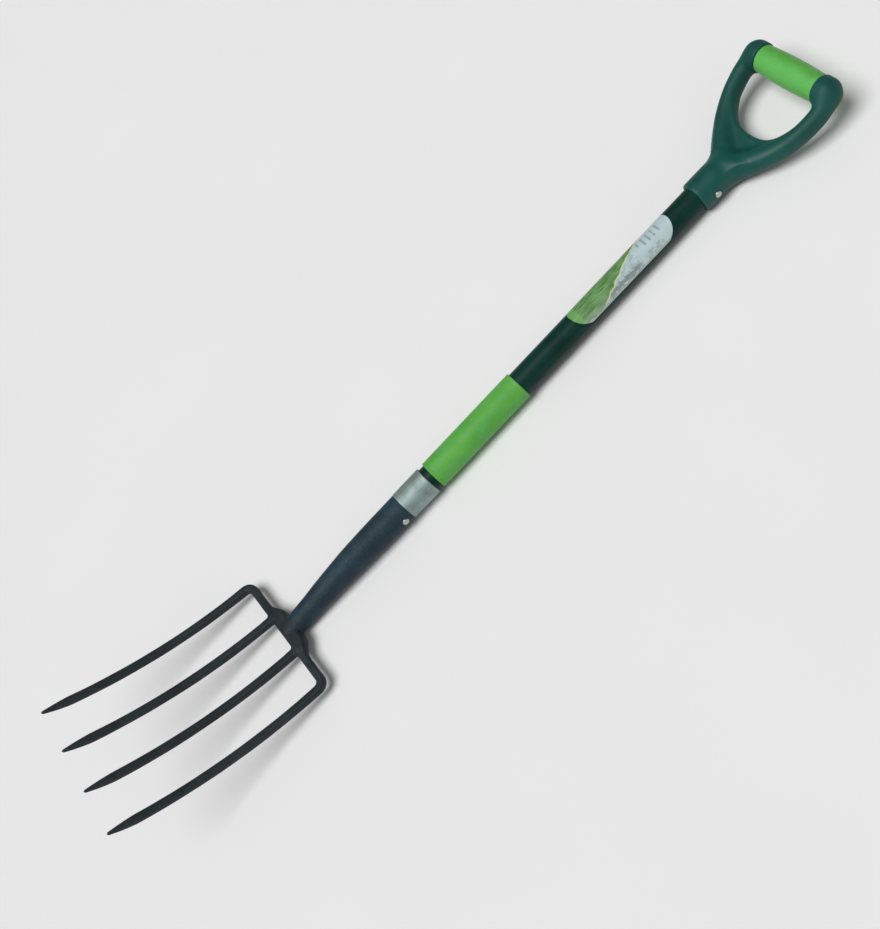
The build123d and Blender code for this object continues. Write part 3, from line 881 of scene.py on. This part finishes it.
def stub_field(x, wide, z):
    """Distance to the root of an inner tine."""
    run = np.maximum(ARM_LINE_X - x, 0)
    rise = run * np.tan(START_SLOPE + run / BEND_RADIUS / 2)
    off = wide - INNER_TINE_Y - run * math.tan(math.radians(INNER_SPLAY))
    stub = box_field(off, z - HEAD_Z - rise, STUB_HALF, STUB_HALF, STUB_EDGE)
    return np.maximum(stub, np.maximum(ARM_LINE_X - x - STUB_RUN, x - ARM_LINE_X))


def crosshead_field(x, y, z):
    """Distance to the forged bar with its hub and the roots of the arms and tines."""
    wide = np.abs(y)
    heel_x, heel_z, heel_radius = HEEL
    heel = np.sqrt((x - heel_x) ** 2 + y ** 2 + (z - heel_z) ** 2) - heel_radius
    body = blend_min(throat_field(x, y, z), heel, 3.0)
    # nearly no fillet where the throat is inside the socket
    fillet = 2.8 * (1 - smooth_step(x, -609, -602)) + 0.4
    field = blend_min(bar_field(x, wide, z), body, fillet)
    field = blend_min(field, stub_field(x, wide, z), 4.0)
    wave = unevenness(x / 4.1 + y / 5.3, z / 3.7 - y / 6.1, x / 6.3 - z / 4.9)
    return np.maximum(field + FORGED_WAVE * wave, -z + HEEL_FLAT_Z)


step = 0.7
points, faces = surface_net(crosshead_field, (-646, -51, -20.5), (-594, 51, 13), step)
make_piece("forged_crosshead", points, faces, ["crosshead"], head_paint)

# socket: straight under the ferrule, then drawn down and set back
SOCKET_SIDES = 96
SOCKET_BORE = 14.32
SOCKET_BORE_END_X = -504.0
SOCKET_WAVE = 0.05
SOCKET_STATIONS = np.array([           # x, height of the middle, radius
    (-402.2, 0.0, 16.70), (-440.0, 0.0, 16.70), (-478.0, 0.1, 16.60), (-518.0, 0.4, 15.75),
    (-560.0, -0.9, 14.0), (-585.0, -2.9, 13.0), (-604.0, -4.2, 12.55), (-609.0, -4.5, 12.40),
])

turn = np.linspace(0, 2 * np.pi, SOCKET_SIDES, endpoint=False)


def ring(x, middle_z, radius):
    """Points round the socket at x."""
    return np.stack([
        np.full(SOCKET_SIDES, x), np.cos(turn) * radius, middle_z + np.sin(turn) * radius,
    ], 1)


rings = []
for x, z, radius in refine(SOCKET_STATIONS, 10):
    wave = SOCKET_WAVE * unevenness(x / 7.0 + 2 * turn, x / 4.1 - 3 * turn)
    rings.append(ring(x, z, radius + wave))
end_ring = len(rings) - 1
bore_end, bore_mouth = end_ring + 1, end_ring + 2
rings.append(ring(SOCKET_BORE_END_X, 0.0, SOCKET_BORE))
rings.append(ring(SOCKET_STATIONS[0][0], 0.0, SOCKET_BORE))
caps = [(SOCKET_BORE_END_X, 0, 0), (SOCKET_STATIONS[-1][0], 0, SOCKET_STATIONS[-1][1])]
points = np.vstack(rings + [caps])
bore_cap, end_cap = len(points) - 2, len(points) - 1
faces = []
loops = [(i, i + 1) for i in range(end_ring)] + [(bore_mouth, 0), (bore_end, bore_mouth)]
for k in range(SOCKET_SIDES):
    m = (k + 1) % SOCKET_SIDES
    for a, b in loops:
        a, b = a * SOCKET_SIDES, b * SOCKET_SIDES
        faces.append((a + k, a + m, b + m, b + k))
    faces.append((bore_cap, bore_end * SOCKET_SIDES + m, bore_end * SOCKET_SIDES + k))
    faces.append((end_cap, end_ring * SOCKET_SIDES + k, end_ring * SOCKET_SIDES + m))
make_piece("drawn_socket", points, faces, ["socket"], head_paint)

# ---------------------------------------------------------------- studio

FLOOR_HALF = 40.0                      # metres
WORLD_LIGHT = 0.22                     # what the backdrop gives the scene
WORLD_SEEN = 0.80                      # what the camera sees past the floor
WHITE = (1, 1, 1, 1)


def floor():
    half = FLOOR_HALF
    corners = [(-half, -half, 0), (half, -half, 0), (half, half, 0), (-half, half, 0)]
    mesh = bpy.data.meshes.new("floor")
    mesh.from_pydata(corners, [], [(0, 1, 2, 3)])
    obj = bpy.data.objects.new("floor", mesh)
    bpy.context.scene.collection.objects.link(obj)
    s = Shader("pale_floor", Roughness=0.9)
    s.colour(s.mix(s.noise(0.004, 2), (0.81, 0.81, 0.81, 1), (0.84, 0.84, 0.84, 1)))
    mesh.materials.append(s.material)


def soft_light(name, place, spread, strength):
    """A wide, even light from the direction of place, spread degrees across."""
    data = bpy.data.lights.new(name, "SUN")
    data.angle = math.radians(spread)
    data.energy = strength
    obj = bpy.data.objects.new(name, data)
    bpy.context.scene.collection.objects.link(obj)
    turn = (-Vector(place)).to_track_quat("-Z", "Y").to_matrix().to_4x4()
    obj.matrix_world = Matrix.Translation(place) @ turn


def backdrop():
    """A white world, dimmer for the scene than it looks to the camera."""
    world = bpy.data.worlds.new("studio")
    world.use_nodes = True
    tree = world.node_tree
    light = tree.nodes["Background"]
    seen = tree.nodes.new("ShaderNodeBackground")
    for node, strength in ((light, WORLD_LIGHT), (seen, WORLD_SEEN)):
        node.inputs["Color"].default_value = WHITE
        node.inputs["Strength"].default_value = strength
    either = tree.nodes.new("ShaderNodeMixShader")
    rays = tree.nodes.new("ShaderNodeLightPath")
    tree.links.new(rays.outputs["Is Camera Ray"], either.inputs[0])
    tree.links.new(light.outputs[0], either.inputs[1])
    tree.links.new(seen.outputs[0], either.inputs[2])
    tree.links.new(either.outputs[0], tree.nodes["World Output"].inputs[0])
    bpy.context.scene.world = world


floor()
soft_light("key", (-1.25, -0.45, 3.10), 36, 2.48)
soft_light("fill", (0.6, -2.2, 2.0), 46, 0.12)
backdrop()
bpy.context.scene.view_settings.view_transform = "Standard"

# Camera: the photograph's view, from in front of and above the fork's middle
LENS = 56.15
SENSOR = 36.0
CAMERA_AT = (-304.7, -997.5, 1193.0)   # drawing millimetres
CAMERA_RIGHT = (0.68700, -0.53449, -0.49229)
CAMERA_UP = (0.72502, 0.54966, 0.41500)

camera = bpy.data.objects.new("camera", bpy.data.cameras.new("camera"))
bpy.context.scene.collection.objects.link(camera)
camera.data.sensor_width = SENSOR
camera.data.lens = LENS
camera.data.clip_start = 0.05
right, up = Vector(CAMERA_RIGHT), Vector(CAMERA_UP)
place = Vector(ORIGIN) + Vector(CAMERA_AT) * MM
turn = Matrix((right, up, right.cross(up))).transposed()
camera.matrix_world = Matrix.Translation(place) @ turn.to_4x4()
bpy.context.scene.camera = camera
